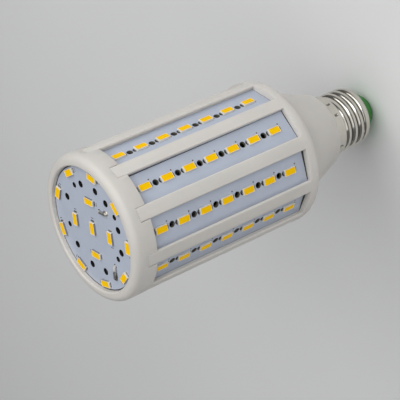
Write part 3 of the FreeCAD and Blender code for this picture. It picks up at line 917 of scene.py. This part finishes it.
def shell_radius(degrees, z):
    """Outer radius of the cap at an angle and height."""
    if z < thread_z - rim_groove_height:
        belly = rim_belly * math.sin(math.pi * (z - rim_z) / rim_band)
        lost = max(0.0, rim_z + rim_rounding - z)
        return rim_radius + belly - rim_rounding + math.sqrt(max(0.0, rim_rounding ** 2 - lost ** 2))
    if z < thread_z:
        share = smooth(thread_z - rim_groove_height, thread_z, z)
        groove = rim_groove_depth * math.sin(math.pi * share)
        return rim_radius * (1 - share) + thread_radius(degrees, z) * share - groove
    if z < skirt_z:
        return thread_radius(degrees, z)
    rise = smooth(skirt_z, skirt_z + skirt_step, z)
    radius = thread_radius(degrees, skirt_z) * (1 - rise) + skirt_radius * rise
    spacing = 360.0 / crimp_pairs
    off = abs((degrees - crimp_start + spacing / 2) % spacing - spacing / 2) - crimp_apart / 2
    across = math.radians(off) * skirt_radius / crimp_half_width
    tall = (z - crimp_z) / crimp_half_height
    inside = max(0.0, 1.0 - across ** 2 - tall ** 2)
    edge = smooth(skirt_top - skirt_edge_height, skirt_top, z)
    return radius - crimp_depth * inside - skirt_edge_inset * edge


def cap_heights():
    """Heights of the rows, closer together where the form turns quickly."""
    heights = [rim_z + rim_rounding * (1 - math.cos(math.radians(a))) for a in range(0, 91, 15)]
    z = heights[-1]
    for end, row in ((thread_z - 0.55, rim_row), (skirt_z + skirt_step, thread_row),
                     (skirt_top - 0.35, skirt_row)):
        while z < end:
            z += row
            heights.append(z)
    return heights + [skirt_top - below for below in (0.2, 0.12, 0.05, 0.0)]


def cap_ring(radius_at, z):
    """One row of points round the cap, with its radius as a function of the angle in degrees."""
    row = []
    for i in range(points_round_cap):
        degrees = 360.0 * i / points_round_cap
        turn = math.radians(degrees)
        radius = radius_at(degrees)
        row.append((radius * math.cos(turn), radius * math.sin(turn), z))
    return row


def screw_shell():
    """The shell as one skin: curled lip, rim band, thread, skirt, and the wall inside it."""
    lip = rim_radius - lip_reach
    skirt_bore = skirt_radius - shell_wall
    thread_bore = root_radius - shell_wall
    lip_rows = ((lip, rim_z + shell_wall), (lip, rim_z + 0.02), (lip + 0.02, rim_z))
    inner_rows = ((skirt_bore, skirt_top), (skirt_bore, skirt_z + skirt_inner_step),
                  (thread_bore, skirt_z + shell_wall), (thread_bore, rim_z + shell_wall),
                  (lip, rim_z + shell_wall))
    rows = [cap_ring(lambda degrees: radius, z) for radius, z in lip_rows]
    rows += [cap_ring(lambda degrees: shell_radius(degrees, z), z) for z in cap_heights()]
    rows += [cap_ring(lambda degrees: radius, z) for radius, z in inner_rows]
    shell = Shell()
    shell.loops(rows, 0)
    shell.piece("rolled_screw_shell", [looks["cap_metal"]], "cap_metal", ["screw_shell"], 50.0)


screw_shell()


# Housing and ring with their moulded edges broken
moulded_edge = 0.22


def eased_copy(name, node, look):
    """A CAD node's form with its sharp edges rounded, as moulding leaves them."""
    work = bmesh.new()
    work.from_mesh(nodes[node].data)
    bmesh.ops.remove_doubles(work, verts=work.verts, dist=1e-6)
    bmesh.ops.dissolve_limit(work, angle_limit=math.radians(0.6), verts=work.verts, edges=work.edges)
    data = bpy.data.meshes.new(name)
    work.to_mesh(data)
    work.free()
    data.materials.clear()
    data.materials.append(looks[look])
    data.polygons.foreach_set("use_smooth", [True] * len(data.polygons))
    made = bpy.data.objects.new(name, data)
    bpy.context.scene.collection.objects.link(made)
    bevel = made.modifiers.new("eased_edges", "BEVEL")
    bevel.limit_method = "ANGLE"
    bevel.angle_limit = math.radians(40.0)
    bevel.width = moulded_edge * mm
    bevel.segments = 2
    bevel.use_clamp_overlap = True
    bevel.harden_normals = True
    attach(made, "root")
    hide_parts(node)


eased_copy("moulded_housing", "lamp_housing", "housing")
eased_copy("moulded_ring", "front_ring", "housing")


# Stage

def floor():
    """A wide pale floor under the cap."""
    data = bpy.data.meshes.new("studio_floor")
    corners = [(x * floor_half, y * floor_half, 0) for x, y in ((-1, -1), (1, -1), (1, 1), (-1, 1))]
    data.from_pydata(corners, [], [(0, 1, 2, 3)])
    r = Recipe("studio_paper")
    r.set(Base_Color=r.ramp(r.noise(6.0, 2.0), (0.3, (0.80, 0.80, 0.80, 1)), (0.7, (0.82, 0.82, 0.82, 1))),
          Roughness=0.85, Specular_IOR_Level=0.2)
    data.materials.append(r.material)
    made = bpy.data.objects.new("studio_floor", data)
    bpy.context.scene.collection.objects.link(made)


def softbox(name, place, width, height, watts):
    """A soft white light that looks at the middle of the bulb."""
    data = bpy.data.lights.new(name, "AREA")
    data.shape = "RECTANGLE"
    data.size = width
    data.size_y = height
    data.energy = watts
    made = bpy.data.objects.new(name, data)
    made.location = place
    made.rotation_mode = "QUATERNION"
    made.rotation_quaternion = (light_aim - Vector(place)).to_track_quat("-Z", "Y")
    bpy.context.scene.collection.objects.link(made)


def world():
    """A plain soft room of one grey."""
    made = bpy.data.worlds.new("studio_room")
    bpy.context.scene.world = made
    made.use_nodes = True
    back = made.node_tree.nodes["Background"]
    back.inputs["Strength"].default_value = room_strength
    back.inputs["Color"].default_value = room_colour


def camera():
    """The camera that fits the photograph."""
    data = bpy.data.cameras.new("photo_camera")
    data.sensor_width = sensor_width
    data.lens = focal_pixels * sensor_width / picture_width
    data.clip_start = 0.01
    data.clip_end = 20.0
    made = bpy.data.objects.new("photo_camera", data)
    made.location = camera_place * mm
    look = (camera_aim - camera_place).to_track_quat("-Z", "Y")
    made.rotation_mode = "QUATERNION"
    made.rotation_quaternion = look @ Quaternion((0, 0, 1), math.radians(-camera_roll))
    bpy.context.scene.collection.objects.link(made)
    bpy.context.scene.camera = made


floor()
world()
for light in softboxes:
    softbox(*light)
camera()
bpy.context.scene.view_settings.view_transform = "Standard"
